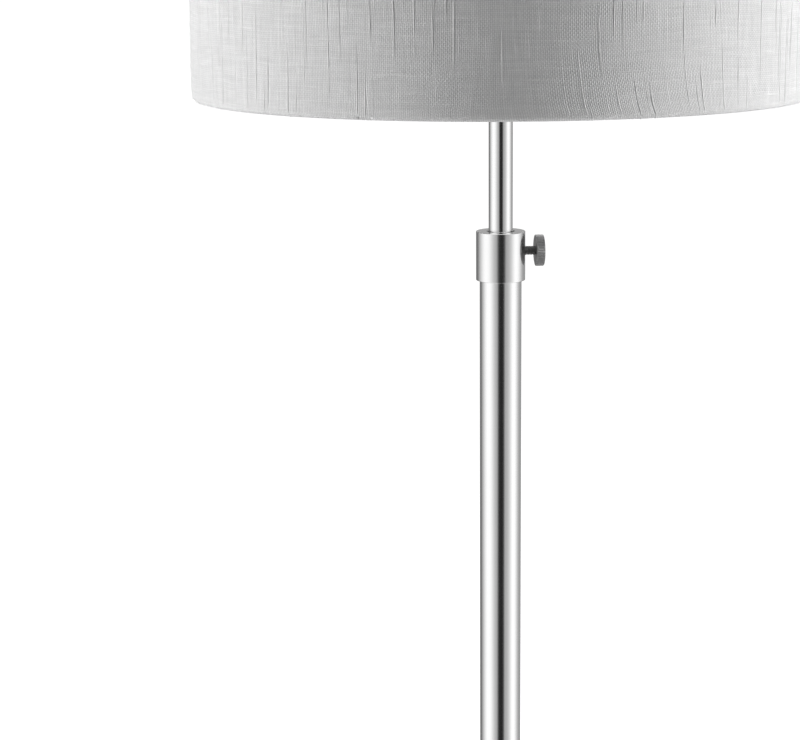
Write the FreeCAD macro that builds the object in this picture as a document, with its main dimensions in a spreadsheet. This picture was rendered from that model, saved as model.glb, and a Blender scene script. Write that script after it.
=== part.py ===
"""Telescopic floor lamp: weighted base, sliding column with a screw clamp, lampholder and drum shade."""

import FreeCAD
import Part
import math
import os
import re
import Sketcher

# Driving sizes in millimetres. A level is a height above the floor at rest, a fit is a radial clearance.
SIZES = {
    # base
    "base_diameter": 280.0,
    "base_level": 20.0,
    "cover_wall": 1.2,
    "cover_edge_radius": 6.0,
    "cover_floor_gap": 1.5,
    "floor_pad_thickness": 2.5,
    "floor_pad_margin": 3.0,
    "weight_gap": 0.3,
    "weight_web": 7.0,
    "weight_rim_width": 14.0,
    "weight_hub_diameter": 74.0,
    "weight_rib_width": 8.0,
    "weight_rib_count": 6,
    "nut_recess_diameter": 40.0,
    "nut_recess_depth": 11.0,
    "lead_slot_width": 9.0,
    "inlet_level": 9.0,
    "inlet_notch_width": 16.0,
    "inlet_notch_roof": 2.6,
    "grommet_flange_diameter": 12.0,
    "grommet_flange_thickness": 1.6,
    "grommet_neck_diameter": 9.0,
    "grommet_bore_diameter": 6.4,
    "grommet_gap": 0.15,
    # fits and threads
    "push_fit": 0.02,
    "slide_fit": 0.08,
    "thread_fit": 0.04,
    # column
    "outer_tube_diameter": 28.0,
    "outer_tube_wall": 1.0,
    "inner_tube_diameter": 16.0,
    "inner_tube_wall": 1.0,
    "inner_tube_length": 552.0,
    "nipple_diameter": 10.0,
    "nipple_bore": 7.0,
    "foot_plug_length": 22.0,
    "foot_nipple_engagement": 18.0,
    "foot_nipple_overhang": 2.0,
    "foot_hole_gap": 0.5,
    "foot_washer_diameter": 30.0,
    "foot_washer_thickness": 2.0,
    "foot_nut_flats": 14.0,
    "foot_nut_thickness": 5.0,
    # clamp head
    "collar_top_level": 900.0,
    "collar_length": 32.7,
    "collar_diameter": 32.8,
    "collar_socket_depth": 13.5,
    "collar_top_chamfer": 0.25,
    "collar_bottom_radius": 0.4,
    "collar_mouth_chamfer": 0.4,
    "liner_sleeve_diameter": 18.4,
    "liner_top_recess": 1.4,
    "liner_tail_length": 28.0,
    "liner_window_gap": 0.5,
    "stud_diameter": 6.0,
    "stud_below_top": 13.4,
    "stud_tip_diameter": 3.4,
    "stud_tip_length": 1.6,
    "stud_end_chamfer": 0.5,
    "stud_end_gap": 0.05,
    "clamp_pad_diameter": 5.6,
    "clamp_pad_length": 4.0,
    "clamp_pad_gap": 0.1,
    "clamp_pad_land": 0.2,
    "knob_standoff": 6.8,
    "knob_diameter": 21.0,
    "knob_thickness": 5.5,
    "knob_outer_radius": 0.8,
    "knob_inner_chamfer": 0.3,
    "knob_socket_depth": 4.2,
    "knurl_count": 60,
    "knurl_depth": 0.4,
    # lower end of the sliding tube
    "guide_bush_length": 38.0,
    "guide_bush_land": 8.0,
    "guide_bush_relief": 0.6,
    "guide_bush_end_gap": 4.0,
    "retaining_ring_thickness": 1.2,
    "retaining_ring_diameter": 21.0,
    "retaining_ring_gap": 0.1,
    # lampholder
    "rim_above_collar": 89.5,
    "spider_rise": 35.0,
    "holder_drop": 40.5,
    "tube_bush_length": 14.0,
    "holder_nipple_length": 20.0,
    "dome_neck_diameter": 15.6,
    "dome_neck_height": 6.0,
    "dome_diameter": 42.0,
    "dome_shoulder_height": 17.0,
    "dome_height": 27.0,
    "dome_wall": 2.0,
    "dome_round": 14.0,
    "dome_thread_length": 9.0,
    "holder_diameter": 40.0,
    "holder_wall": 2.0,
    "holder_spigot_height": 7.0,
    "holder_height": 60.5,
    "holder_mouth_diameter": 28.8,
    "holder_lip": 2.0,
    "core_gap": 0.1,
    "core_floor": 15.0,
    "core_wire_hole_diameter": 5.0,
    "core_wire_hole_spacing": 20.0,
    "screw_shell_wall": 0.4,
    "screw_shell_height": 21.0,
    "screw_shell_floor_hole": 16.0,
    "contact_width": 5.0,
    "contact_thickness": 0.5,
    "contact_rise": 1.8,
    "contact_length": 12.8,
    "terminal_head_diameter": 5.6,
    "terminal_head_height": 2.2,
    "terminal_shank_diameter": 3.0,
    "terminal_shank_length": 5.0,
    "terminal_spacing": 22.0,
    "shade_ring_diameter": 56.0,
    "shade_ring_height": 6.0,
    "shade_ring_chamfer": 1.2,
    # bulb
    "bulb_diameter": 60.0,
    "bulb_length": 106.0,
    "bulb_wall": 1.0,
    "bulb_neck_diameter": 25.6,
    "bulb_neck_height": 33.0,
    "bulb_glass_start": 22.5,
    "bulb_cap_diameter": 26.4,
    "bulb_cap_height": 25.0,
    "bulb_cap_wall": 0.3,
    "bulb_cap_start": 4.6,
    "bulb_cap_cone": 2.7,
    "bulb_contact_diameter": 9.6,
    "bulb_contact_height": 1.0,
    "bulb_contact_flat": 5.0,
    "bulb_contact_gap": 0.15,
    # shade
    "shade_diameter": 403.0,
    "shade_height": 250.0,
    "fabric_thickness": 0.5,
    "lining_thickness": 0.4,
    "rim_radius": 3.0,
    "rim_tuck_height": 7.0,
    "glue_line": 0.02,
    "ring_wire_diameter": 4.0,
    "arm_wire_diameter": 3.6,
    "arm_count": 3,
    "arm_flat_length": 6.0,
    "arm_bend_radius": 14.0,
    "arm_weld_overlap": 0.8,
    "arm_end_inset": 0.4,
    "arm_notch_width": 7.0,
    "arm_notch_floor": 1.2,
    "spider_plate_diameter": 58.0,
    "spider_plate_thickness": 1.2,
    "spider_hole_gap": 0.3,
}

# Radii, heights and levels that follow from the driving sizes.
PLACES = {
    "half_root": "sqrt(0.5)",
    "base_radius": "base_diameter / 2",
    "cover_underside": "base_level - cover_wall",
    "weight_radius": "base_radius - cover_wall - weight_gap",
    "weight_corner": "cover_edge_radius - cover_wall",
    "weight_web_level": "cover_underside - weight_web",
    "weight_rim_bore": "weight_radius - weight_rim_width",
    "washer_seat": "floor_pad_thickness + nut_recess_depth",
    "outer_tube_radius": "outer_tube_diameter / 2",
    "outer_tube_bore": "outer_tube_radius - outer_tube_wall",
    "inner_tube_radius": "inner_tube_diameter / 2",
    "inner_tube_bore": "inner_tube_radius - inner_tube_wall",
    "nipple_radius": "nipple_diameter / 2",
    "foot_hole": "nipple_radius + foot_hole_gap",
    "foot_nut_level": "washer_seat - foot_washer_thickness - foot_nut_thickness",
    "foot_nipple_level": "foot_nut_level - foot_nipple_overhang",
    "collar_radius": "collar_diameter / 2",
    "collar_bottom_level": "collar_top_level - collar_length",
    "tube_end_level": "collar_bottom_level + collar_socket_depth",
    "liner_sleeve_radius": "liner_sleeve_diameter / 2",
    "stud_radius": "stud_diameter / 2",
    "stud_level": "collar_top_level - stud_below_top",
    "stud_height": "collar_length - stud_below_top",
    "pad_face": "inner_tube_radius + clamp_pad_gap",
    "pad_back": "pad_face + clamp_pad_length",
    "pad_land": "sqrt(pad_face ^ 2 - (clamp_pad_diameter / 2) ^ 2) + clamp_pad_land",
    "stud_shoulder": "pad_back + stud_end_gap",
    "knob_face": "collar_radius + knob_standoff",
    "knob_radius": "knob_diameter / 2",
    "rim_level": "collar_top_level + rim_above_collar",
    "spider_level": "rim_level + spider_rise",
    "holder_foot_level": "spider_level - holder_drop",
    "inner_tube_foot_level": "holder_foot_level - inner_tube_length",
    "lower_ring_level": "inner_tube_foot_level + guide_bush_end_gap",
    "bush_level": "lower_ring_level + retaining_ring_thickness + retaining_ring_gap",
    "dome_radius": "dome_diameter / 2",
    "dome_bore": "dome_radius - dome_wall",
    "dome_inner_round": "dome_shoulder_height - dome_thread_length",
    "holder_radius": "holder_diameter / 2",
    "holder_bore": "holder_radius - holder_wall",
    "holder_shell_foot": "dome_height - holder_spigot_height",
    "core_radius": "holder_bore - core_gap",
    "core_bore_level": "holder_shell_foot + core_floor",
    "core_height": "holder_height - holder_lip - core_gap",
    "screw_shell_bore": "bulb_cap_diameter / 2 + slide_fit",
    "screw_shell_radius": "screw_shell_bore + screw_shell_wall",
    "contact_level": "holder_foot_level + core_bore_level + contact_rise + contact_thickness",
    "bulb_tip_level": "contact_level + bulb_contact_gap",
    "bulb_radius": "bulb_diameter / 2",
    "bulb_centre": "bulb_length - bulb_radius",
    "bulb_neck": "bulb_neck_diameter / 2",
    "bulb_drop": "bulb_centre - bulb_neck_height",
    "bulb_throat": "(bulb_drop ^ 2 + bulb_neck ^ 2 - bulb_radius ^ 2) / (2 * (bulb_radius - bulb_neck))",
    "shade_radius": "shade_diameter / 2",
    "lining_radius": "shade_radius - fabric_thickness",
    "lining_bore": "lining_radius - lining_thickness",
    "wire_circle": "shade_radius - rim_radius",
    "turn_reach": "rim_radius * half_root",
    "tuck_face": "lining_bore - glue_line - fabric_thickness",
    "tuck_start": "rim_radius + turn_reach + tuck_face - wire_circle + turn_reach",
    "tuck_end": "tuck_start + rim_tuck_height",
    "spider_hole": "holder_radius + spider_hole_gap",
    "spider_plate_radius": "spider_plate_diameter / 2",
    "arm_level": "spider_plate_thickness / 2",
    "arm_bend": "spider_plate_radius + arm_flat_length",
    "arm_end": "wire_circle - arm_end_inset",
    "arm_end_level": "rim_radius - spider_rise + (arm_level + spider_rise - rim_radius) * arm_end_inset / "
    "(wire_circle - arm_bend)",
    "arm_slope": "atan2(arm_level - arm_end_level; arm_end - arm_bend)",
    "arm_tangent": "arm_bend_radius * tan(arm_slope / 2)",
}

WORD = re.compile(r"[a-z][a-z_]*[a-z]")

doc = FreeCAD.newDocument("floor_lamp")
sheet = doc.addObject("Spreadsheet::Sheet", "dims")
for row, (alias, number) in enumerate(SIZES.items(), start=1):
    sheet.set(f"A{row}", alias)
    sheet.set(f"B{row}", str(number))
    sheet.setAlias(f"B{row}", alias)
doc.recompute()


def bound(text):
    """The text as an expression on the sheet: a size by its alias, a place written out."""

    def swap(match):
        word = match.group()
        if word in SIZES:
            return f"dims.{word}"
        if word in PLACES:
            return f"({bound(PLACES[word])})"
        return word

    return WORD.sub(swap, text)


def number(text):
    """The present value of such an expression."""
    value = sheet.evalExpression(bound(text))
    return float(getattr(value, "Value", value))


def new_body(name, level="0", parts=1):
    """An empty body that stands at a level, and may hold several separate solids."""
    body = doc.addObject("PartDesign::Body", name)
    body.Label = name
    body.AllowCompound = parts > 1
    body.setExpression("Placement.Base.z", bound(level))
    return body


def origin_feature(body, role):
    return next(item for item in body.Origin.OriginFeatures if item.Role == role)


def new_sketch(body, what, plane, offset=None):
    sketch = body.newObject("Sketcher::SketchObject", f"{body.Name}_{what}")
    sketch.AttachmentSupport = [(origin_feature(body, plane), "")]
    sketch.MapMode = "FlatFace"
    if offset:
        sketch.setExpression("AttachmentOffset.Base.z", bound(offset))
    return sketch


def constrain(sketch, kind, where, text, value=None):
    """A constraint whose size is an expression on the sheet."""
    index = sketch.addConstraint(Sketcher.Constraint(kind, *where, number(text) if value is None else value))
    sketch.setExpression(f"Constraints[{index}]", bound(text))


def pin_point(sketch, where, x, y):
    """Holds a point of the sketch at x and y from its origin."""
    for kind, text in (("DistanceX", x), ("DistanceY", y)):
        constrain(sketch, kind, (-1, 1, *where), text)


def arc_through(start, end, radius):
    """The short arc from start to end, turning left for a positive radius and right for a negative one."""
    chord = end - start
    middle = (start + end) / 2
    left = FreeCAD.Vector(-chord.y, chord.x, 0).normalize()
    reach = math.sqrt(max(radius * radius - chord.Length**2 / 4, 0))
    centre = middle + left * math.copysign(reach, radius)
    first, last = (start, end) if radius > 0 else (end, start)
    angles = [math.atan2(point.y - centre.y, point.x - centre.x) for point in (first, last)]
    circle = Part.Circle(centre, FreeCAD.Vector(0, 0, 1), abs(radius))
    return Part.ArcOfCircle(circle, *angles)


def draw_path(sketch, corners, closed=True):
    """Lines and arcs through the corners. A corner is (x, y), or (x, y, radius) where an arc leads to it."""
    points = [FreeCAD.Vector(number(corner[0]), number(corner[1]), 0) for corner in corners]
    steps = range(len(corners) if closed else len(corners) - 1)
    ends = []
    for step in steps:
        target = (step + 1) % len(corners)
        start, end = points[step], points[target]
        if len(corners[target]) == 3:
            text = corners[target][2]
            radius = number(text)
            index = sketch.addGeometry(arc_through(start, end, radius), False)
            constrain(sketch, "Radius", (index,), f"abs({text})", abs(radius))
            ends.append((index, 1, 2) if radius > 0 else (index, 2, 1))
        else:
            index = sketch.addGeometry(Part.LineSegment(start, end), False)
            ends.append((index, 1, 2))
    for step in steps:
        index, first, last = ends[step]
        pin_point(sketch, (index, first), *corners[step][:2])
        if closed or step + 1 < len(ends):
            follower = ends[(step + 1) % len(ends)]
            sketch.addConstraint(Sketcher.Constraint("Coincident", index, last, follower[0], follower[1]))
        else:
            pin_point(sketch, (index, last), *corners[-1][:2])


def draw_circle(sketch, x, y, radius):
    centre = FreeCAD.Vector(number(x), number(y), 0)
    circle = Part.Circle(centre, FreeCAD.Vector(0, 0, 1), number(radius))
    index = sketch.addGeometry(circle, False)
    constrain(sketch, "Radius", (index,), radius)
    pin_point(sketch, (index, 3), x, y)


def revolve(body, what, corners=(), circle=None):
    """Turns a closed outline, or a circle, of radius and height round the body's upright axis."""
    sketch = new_sketch(body, f"{what}_outline", "XZ_Plane")
    if circle:
        draw_circle(sketch, *circle)
    else:
        draw_path(sketch, corners)
    feature = body.newObject("PartDesign::Revolution", f"{body.Name}_{what}")
    feature.Profile = sketch
    feature.ReferenceAxis = (sketch, ["V_Axis"])
    feature.Angle = 360
    return feature


def turned(name, level, corners):
    """A piece turned in one go from its outline."""
    body = new_body(name, level)
    revolve(body, "turning", corners)
    return body


def tube_outline(bore, radius, foot, top):
    return [(bore, foot), (radius, foot), (radius, top), (bore, top)]


def extrude(body, kind, sketch, length=None, reverse=False, both_ways=False):
    """A pad or a pocket of the sketch. A pocket with no length goes through everything."""
    feature = body.newObject(f"PartDesign::{kind}", f"{sketch.Name}_{kind.lower()}")
    feature.Profile = sketch
    feature.Reversed = reverse
    if both_ways:
        feature.SideType = "Symmetric"
    if length:
        feature.setExpression("Length", bound(length))
    else:
        feature.Type = "ThroughAll"
    return feature


def pocket(body, sketch, **options):
    """A pocket that is checked to take material away."""
    doc.recompute()
    before = body.Shape.Volume
    feature = extrude(body, "Pocket", sketch, **options)
    doc.recompute()
    if body.Shape.Volume >= before:
        raise RuntimeError(f"{feature.Name} cuts nothing")
    return feature


def bore_hole(body, what, plane, x, y, radius, **options):
    sketch = new_sketch(body, what, plane)
    draw_circle(sketch, x, y, radius)
    return pocket(body, sketch, **options)


def repeat_round(body, feature, count):
    """Repeats a feature at even steps round the body's upright axis."""
    pattern = body.newObject("PartDesign::PolarPattern", f"{feature.Name}_pattern")
    pattern.Originals = [feature]
    pattern.Axis = (origin_feature(body, "Z_Axis"), [""])
    pattern.Angle = 360
    pattern.setExpression("Occurrences", bound(count))
    body.Tip = pattern
    return pattern


def lay_along_x(body, level):
    """Turns a piece modelled upright, so that its axis runs along +X through the column at a level."""
    body.Placement = FreeCAD.Placement(FreeCAD.Vector(), FreeCAD.Rotation(FreeCAD.Vector(0, 1, 0), 90))
    body.setExpression("Placement.Base.z", bound(level))


# Base


def base_cover():
    """Spun steel cover, open below, with the inlet's hole at the rear."""
    body = turned(
        "base_cover",
        "0",
        [
            ("foot_hole", "cover_underside"),
            ("base_radius - cover_edge_radius", "cover_underside"),
            ("base_radius - cover_wall", "base_level - cover_edge_radius", "-weight_corner"),
            ("base_radius - cover_wall", "cover_floor_gap"),
            ("base_radius", "cover_floor_gap"),
            ("base_radius", "base_level - cover_edge_radius"),
            ("base_radius - cover_edge_radius", "base_level", "cover_edge_radius"),
            ("foot_hole", "base_level"),
        ],
    )
    bore_hole(body, "inlet", "XZ_Plane", "0", "inlet_level", "grommet_neck_diameter / 2 + push_fit")


def base_weight():
    """Cast iron disc with a rim, a hub for the nut and ribs, cut through for the lead."""
    body = turned(
        "base_weight",
        "0",
        [
            ("foot_hole", "washer_seat"),
            ("nut_recess_diameter / 2", "washer_seat"),
            ("nut_recess_diameter / 2", "floor_pad_thickness"),
            ("weight_hub_diameter / 2", "floor_pad_thickness"),
            ("weight_hub_diameter / 2", "weight_web_level"),
            ("weight_rim_bore", "weight_web_level"),
            ("weight_rim_bore", "floor_pad_thickness"),
            ("weight_radius", "floor_pad_thickness"),
            ("weight_radius", "cover_underside - weight_corner"),
            ("weight_radius - weight_corner", "cover_underside", "weight_corner"),
            ("foot_hole", "cover_underside"),
        ],
    )
    rib = new_sketch(body, "rib", "XZ_Plane")
    into = "weight_rib_width / 2"
    rib_start = f"weight_hub_diameter / 2 - {into}"
    rib_end = f"weight_rim_bore + {into}"
    draw_path(
        rib,
        [
            (rib_start, "floor_pad_thickness"),
            (rib_end, "floor_pad_thickness"),
            (rib_end, "weight_web_level"),
            (rib_start, "weight_web_level"),
        ],
    )
    first_rib = extrude(body, "Pad", rib, length="weight_rib_width", both_ways=True)
    repeat_round(body, first_rib, "weight_rib_count")
    lead_slot = new_sketch(body, "lead_slot", "XY_Plane")
    draw_path(lead_slot, box_outline("lead_slot_width / 2", "0", "weight_rim_bore"))
    pocket(body, lead_slot, length="weight_web_level", reverse=True)
    notch = new_sketch(body, "inlet_notch", "XY_Plane")
    notch_start = "weight_rim_bore - inlet_notch_width / 2"
    draw_path(notch, box_outline("inlet_notch_width / 2", notch_start, "base_radius"))
    pocket(body, notch, length="cover_underside - inlet_notch_roof", reverse=True)


def box_outline(half_width, near, far):
    """A rectangle centred on the sketch's upright axis."""
    return [(f"-({half_width})", near), (half_width, near), (half_width, far), (f"-({half_width})", far)]


def base_pad():
    """Soft pad under the weight, on which the lamp stands."""
    turned(
        "base_pad",
        "0",
        [
            ("0", "0"),
            ("weight_radius - floor_pad_margin", "0"),
            ("weight_radius - floor_pad_margin", "floor_pad_thickness"),
            ("0", "floor_pad_thickness"),
        ],
    )


def cable_grommet():
    """Rubber inlet in the cover's rear wall. Its axis points out to the rear."""
    inner_face = "-cover_wall - grommet_gap"
    outer_face = "grommet_gap + grommet_flange_thickness"
    body = turned(
        "cable_grommet",
        "inlet_level",
        [
            ("grommet_bore_diameter / 2", f"{inner_face} - grommet_flange_thickness"),
            ("grommet_flange_diameter / 2", f"{inner_face} - grommet_flange_thickness"),
            ("grommet_flange_diameter / 2", inner_face),
            ("grommet_neck_diameter / 2", inner_face),
            ("grommet_neck_diameter / 2", "grommet_gap"),
            ("grommet_flange_diameter / 2", "grommet_gap"),
            ("grommet_neck_diameter / 2", outer_face, "grommet_flange_thickness"),
            ("grommet_bore_diameter / 2", outer_face),
        ],
    )
    body.Placement = FreeCAD.Placement(FreeCAD.Vector(), FreeCAD.Rotation(FreeCAD.Vector(1, 0, 0), -90))
    body.setExpression("Placement.Base.y", bound("base_radius"))


# Column and its foot


def foot_plug():
    """Threaded plug pressed into the thick tube's lower end."""
    turned(
        "foot_plug",
        "base_level",
        [
            ("nipple_radius + thread_fit", "0"),
            ("outer_tube_bore - push_fit", "0"),
            ("outer_tube_bore - push_fit", "foot_plug_length - outer_tube_wall"),
            ("outer_tube_bore - outer_tube_wall", "foot_plug_length"),
            ("nipple_radius + thread_fit", "foot_plug_length"),
        ],
    )


def nipple(name, level, foot, top):
    """Hollow threaded rod, which the lead passes through."""
    chamfer = "stud_end_chamfer"
    turned(
        name,
        level,
        [
            ("nipple_bore / 2", foot),
            (f"nipple_radius - {chamfer}", foot),
            ("nipple_radius", f"{foot} + {chamfer}"),
            ("nipple_radius", f"{top} - {chamfer}"),
            (f"nipple_radius - {chamfer}", top),
            ("nipple_bore / 2", top),
        ],
    )


def foot_nipple():
    nipple("foot_nipple", "0", "foot_nipple_level", "base_level + foot_nipple_engagement")


def foot_washer():
    underside = "washer_seat - foot_washer_thickness"
    outline = tube_outline("foot_hole", "foot_washer_diameter / 2", underside, "washer_seat")
    turned("foot_washer", "0", outline)


def foot_nut():
    """Flat hexagon nut on the foot nipple."""
    body = new_body("foot_nut", "foot_nut_level")
    sketch = new_sketch(body, "flats", "XY_Plane")
    corner = "foot_nut_flats / 2 / cos(30)"
    draw_path(sketch, [(f"{corner} * cos({turn})", f"{corner} * sin({turn})") for turn in range(0, 360, 60)])
    draw_circle(sketch, "0", "0", "nipple_radius + thread_fit")
    extrude(body, "Pad", sketch, length="foot_nut_thickness")


def outer_tube():
    length = "tube_end_level - base_level"
    turned("outer_tube", "base_level", tube_outline("outer_tube_bore", "outer_tube_radius", "0", length))


# Clamp head


def clamp_collar():
    """Turned collar pushed over the thick tube, with the thumbscrew's thread in its right side."""
    socket = "outer_tube_radius + push_fit"
    bore = "liner_sleeve_radius + push_fit"
    body = turned(
        "clamp_collar",
        "collar_bottom_level",
        [
            (socket, "0"),
            ("collar_radius - collar_bottom_radius", "0"),
            ("collar_radius", "collar_bottom_radius", "collar_bottom_radius"),
            ("collar_radius", "collar_length - collar_top_chamfer"),
            ("collar_radius - collar_top_chamfer", "collar_length"),
            (f"{bore} + collar_mouth_chamfer", "collar_length"),
            (bore, "collar_length - collar_mouth_chamfer"),
            (bore, "collar_socket_depth"),
            (socket, "collar_socket_depth"),
        ],
    )
    bore_hole(body, "stud_hole", "YZ_Plane", "0", "stud_height", "stud_radius + thread_fit", reverse=True)


def collar_liner():
    """Plastic liner that guides the thin tube, with a window for the clamp pad."""
    bore = "inner_tube_radius + slide_fit"
    tail = "outer_tube_bore - push_fit"
    body = turned(
        "collar_liner",
        "collar_bottom_level",
        [
            (bore, "collar_socket_depth - liner_tail_length"),
            (f"{tail} - outer_tube_wall", "collar_socket_depth - liner_tail_length"),
            (tail, "collar_socket_depth - liner_tail_length + outer_tube_wall"),
            (tail, "collar_socket_depth"),
            ("liner_sleeve_radius", "collar_socket_depth"),
            ("liner_sleeve_radius", "collar_length - liner_top_recess"),
            (bore, "collar_length - liner_top_recess"),
        ],
    )
    window = "clamp_pad_diameter / 2 + liner_window_gap"
    bore_hole(body, "window", "YZ_Plane", "0", "stud_height", window, reverse=True)


def clamp_pad():
    """Plastic pad on the stud's tip, hollowed to fit the thin tube."""
    socket = "stud_tip_diameter / 2 + slide_fit"
    socket_floor = "pad_back - stud_tip_length - slide_fit"
    body = new_body("clamp_pad")
    revolve(
        body,
        "turning",
        [
            ("0", "pad_land"),
            ("clamp_pad_diameter / 2", "pad_land"),
            ("clamp_pad_diameter / 2", "pad_back"),
            (socket, "pad_back"),
            (socket, socket_floor),
            ("0", socket_floor),
        ],
    )
    bore_hole(body, "saddle", "YZ_Plane", "0", "0", "pad_face", both_ways=True)
    lay_along_x(body, "stud_level")


def thumbscrew_stud():
    """Threaded stud with a plain tip that snaps into the clamp pad."""
    tip = "stud_tip_diameter / 2"
    end = "knob_face + knob_socket_depth"
    body = turned(
        "thumbscrew_stud",
        "0",
        [
            ("0", "stud_shoulder - stud_tip_length"),
            (tip, "stud_shoulder - stud_tip_length"),
            (tip, "stud_shoulder"),
            ("stud_radius - stud_end_chamfer", "stud_shoulder"),
            ("stud_radius", "stud_shoulder + stud_end_chamfer"),
            ("stud_radius", end),
            ("0", end),
        ],
    )
    lay_along_x(body, "stud_level")


def thumbscrew_knob():
    """Knurled disc knob, pressed on the stud. The knurl is one groove repeated round the rim."""
    socket = "stud_radius + push_fit"
    socket_floor = "knob_face + knob_socket_depth"
    outer_face = "knob_face + knob_thickness"
    body = turned(
        "thumbscrew_knob",
        "0",
        [
            (socket, "knob_face"),
            ("knob_radius - knob_inner_chamfer", "knob_face"),
            ("knob_radius", "knob_face + knob_inner_chamfer"),
            ("knob_radius", f"{outer_face} - knob_outer_radius"),
            ("knob_radius - knob_outer_radius", outer_face, "knob_outer_radius"),
            ("0", outer_face),
            ("0", socket_floor),
            (socket, socket_floor),
        ],
    )
    groove = new_sketch(body, "groove", "XY_Plane")
    half_groove = "knob_radius * tan(180 / knurl_count)"
    draw_path(
        groove,
        [
            ("knob_radius - knurl_depth", "0"),
            ("knob_radius + knurl_depth", f"-2 * ({half_groove})"),
            ("knob_radius + knurl_depth", f"2 * ({half_groove})"),
        ],
    )
    repeat_round(body, pocket(body, groove, reverse=True), "knurl_count")
    lay_along_x(body, "stud_level")


# Sliding tube


def inner_tube():
    outline = tube_outline("inner_tube_bore", "inner_tube_radius", "0", "inner_tube_length")
    turned("inner_tube", "inner_tube_foot_level", outline)


def guide_bush():
    """Plastic bush that runs in the thick tube on two lands."""
    land = "outer_tube_bore - slide_fit"
    waist = f"{land} - guide_bush_relief"
    bore = "inner_tube_radius + slide_fit"
    turned(
        "guide_bush",
        "bush_level",
        [
            (bore, "0"),
            (waist, "0"),
            (land, "guide_bush_relief"),
            (land, "guide_bush_land"),
            (waist, "guide_bush_land + guide_bush_relief"),
            (waist, "guide_bush_length - guide_bush_land - guide_bush_relief"),
            (land, "guide_bush_length - guide_bush_land"),
            (land, "guide_bush_length - guide_bush_relief"),
            (waist, "guide_bush_length"),
            (bore, "guide_bush_length"),
        ],
    )


def retaining_rings():
    """One ring below the bush and one above it, both tight on the thin tube."""
    body = new_body("retaining_rings", "lower_ring_level", parts=2)
    bore = "inner_tube_radius + push_fit"
    radius = "retaining_ring_diameter / 2"
    step = "guide_bush_length + 2 * retaining_ring_gap + retaining_ring_thickness"
    revolve(body, "lower", tube_outline(bore, radius, "0", "retaining_ring_thickness"))
    revolve(body, "upper", tube_outline(bore, radius, step, f"{step} + retaining_ring_thickness"))


# Lampholder


def tube_top_bush():
    """Threaded bush pressed into the thin tube's top."""
    bore = "nipple_radius + thread_fit"
    outline = tube_outline(bore, "inner_tube_bore - push_fit", "-tube_bush_length", "0")
    turned("tube_top_bush", "holder_foot_level", outline)


def holder_nipple():
    foot = "dome_thread_length - holder_nipple_length"
    nipple("holder_nipple", "holder_foot_level", foot, "dome_thread_length")


def holder_dome():
    """Lower cap of the lampholder, screwed down on the thin tube's end."""
    neck = "dome_neck_diameter / 2"
    turned(
        "holder_dome",
        "holder_foot_level",
        [
            ("nipple_radius + thread_fit", "0"),
            (neck, "0"),
            (neck, "dome_neck_height"),
            ("dome_radius", "dome_shoulder_height", "dome_round"),
            ("dome_radius", "dome_height"),
            ("dome_bore", "dome_height"),
            ("dome_bore", "dome_shoulder_height"),
            ("dome_bore - dome_inner_round", "dome_thread_length", "-dome_inner_round"),
            ("nipple_radius + thread_fit", "dome_thread_length"),
        ],
    )


def holder_body():
    """Threaded shell of the lampholder, with its spigot in the dome and a lip round the mouth."""
    spigot = "dome_bore - push_fit"
    mouth = "holder_mouth_diameter / 2"
    turned(
        "holder_body",
        "holder_foot_level",
        [
            ("holder_bore", "holder_shell_foot"),
            (spigot, "holder_shell_foot"),
            (spigot, "dome_height"),
            ("holder_radius", "dome_height"),
            ("holder_radius", "holder_height"),
            (mouth, "holder_height"),
            (mouth, "holder_height - holder_lip"),
            ("holder_bore", "holder_height - holder_lip"),
        ],
    )


def holder_core():
    """Ceramic core with the well for the screw shell and holes for wires and terminals."""
    well = "screw_shell_radius + core_gap"
    body = turned(
        "holder_core",
        "holder_foot_level",
        [
            ("0", "holder_shell_foot"),
            ("core_radius", "holder_shell_foot"),
            ("core_radius", "core_height"),
            (well, "core_height"),
            (well, "core_bore_level"),
            ("0", "core_bore_level"),
        ],
    )
    for what, side in (("left_wire", "-"), ("right_wire", "")):
        x = f"{side}core_wire_hole_spacing / 2"
        bore_hole(body, what, "XY_Plane", x, "0", "core_wire_hole_diameter / 2", reverse=True)
    for what, side in (("front_terminal", "-"), ("rear_terminal", "")):
        y = f"{side}terminal_spacing / 2"
        radius = "terminal_shank_diameter / 2 + push_fit"
        depth = "holder_shell_foot + terminal_shank_length + push_fit"
        bore_hole(body, what, "XY_Plane", "0", y, radius, reverse=True, length=depth)


def screw_shell():
    """Brass shell that takes the bulb's cap, open in the middle of its floor."""
    turned(
        "screw_shell",
        "holder_foot_level",
        [
            ("screw_shell_floor_hole / 2", "core_bore_level"),
            ("screw_shell_radius", "core_bore_level"),
            ("screw_shell_radius", "core_bore_level + screw_shell_height"),
            ("screw_shell_bore", "core_bore_level + screw_shell_height"),
            ("screw_shell_bore", "core_bore_level + screw_shell_wall"),
            ("screw_shell_floor_hole / 2", "core_bore_level + screw_shell_wall"),
        ],
    )


def centre_contact():
    """Bowed leaf that presses on the bulb's contact."""
    body = new_body("centre_contact", "holder_foot_level")
    sketch = new_sketch(body, "bow", "XZ_Plane")
    half = "contact_length / 2"
    top = "core_bore_level + contact_thickness"
    bow = f"(({half}) ^ 2 + contact_rise ^ 2) / (2 * contact_rise)"
    draw_path(
        sketch,
        [
            (f"-{half}", "core_bore_level"),
            (half, "core_bore_level", f"-({bow})"),
            (half, top),
            (f"-{half}", top, bow),
        ],
    )
    extrude(body, "Pad", sketch, length="contact_width", both_ways=True)


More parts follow.
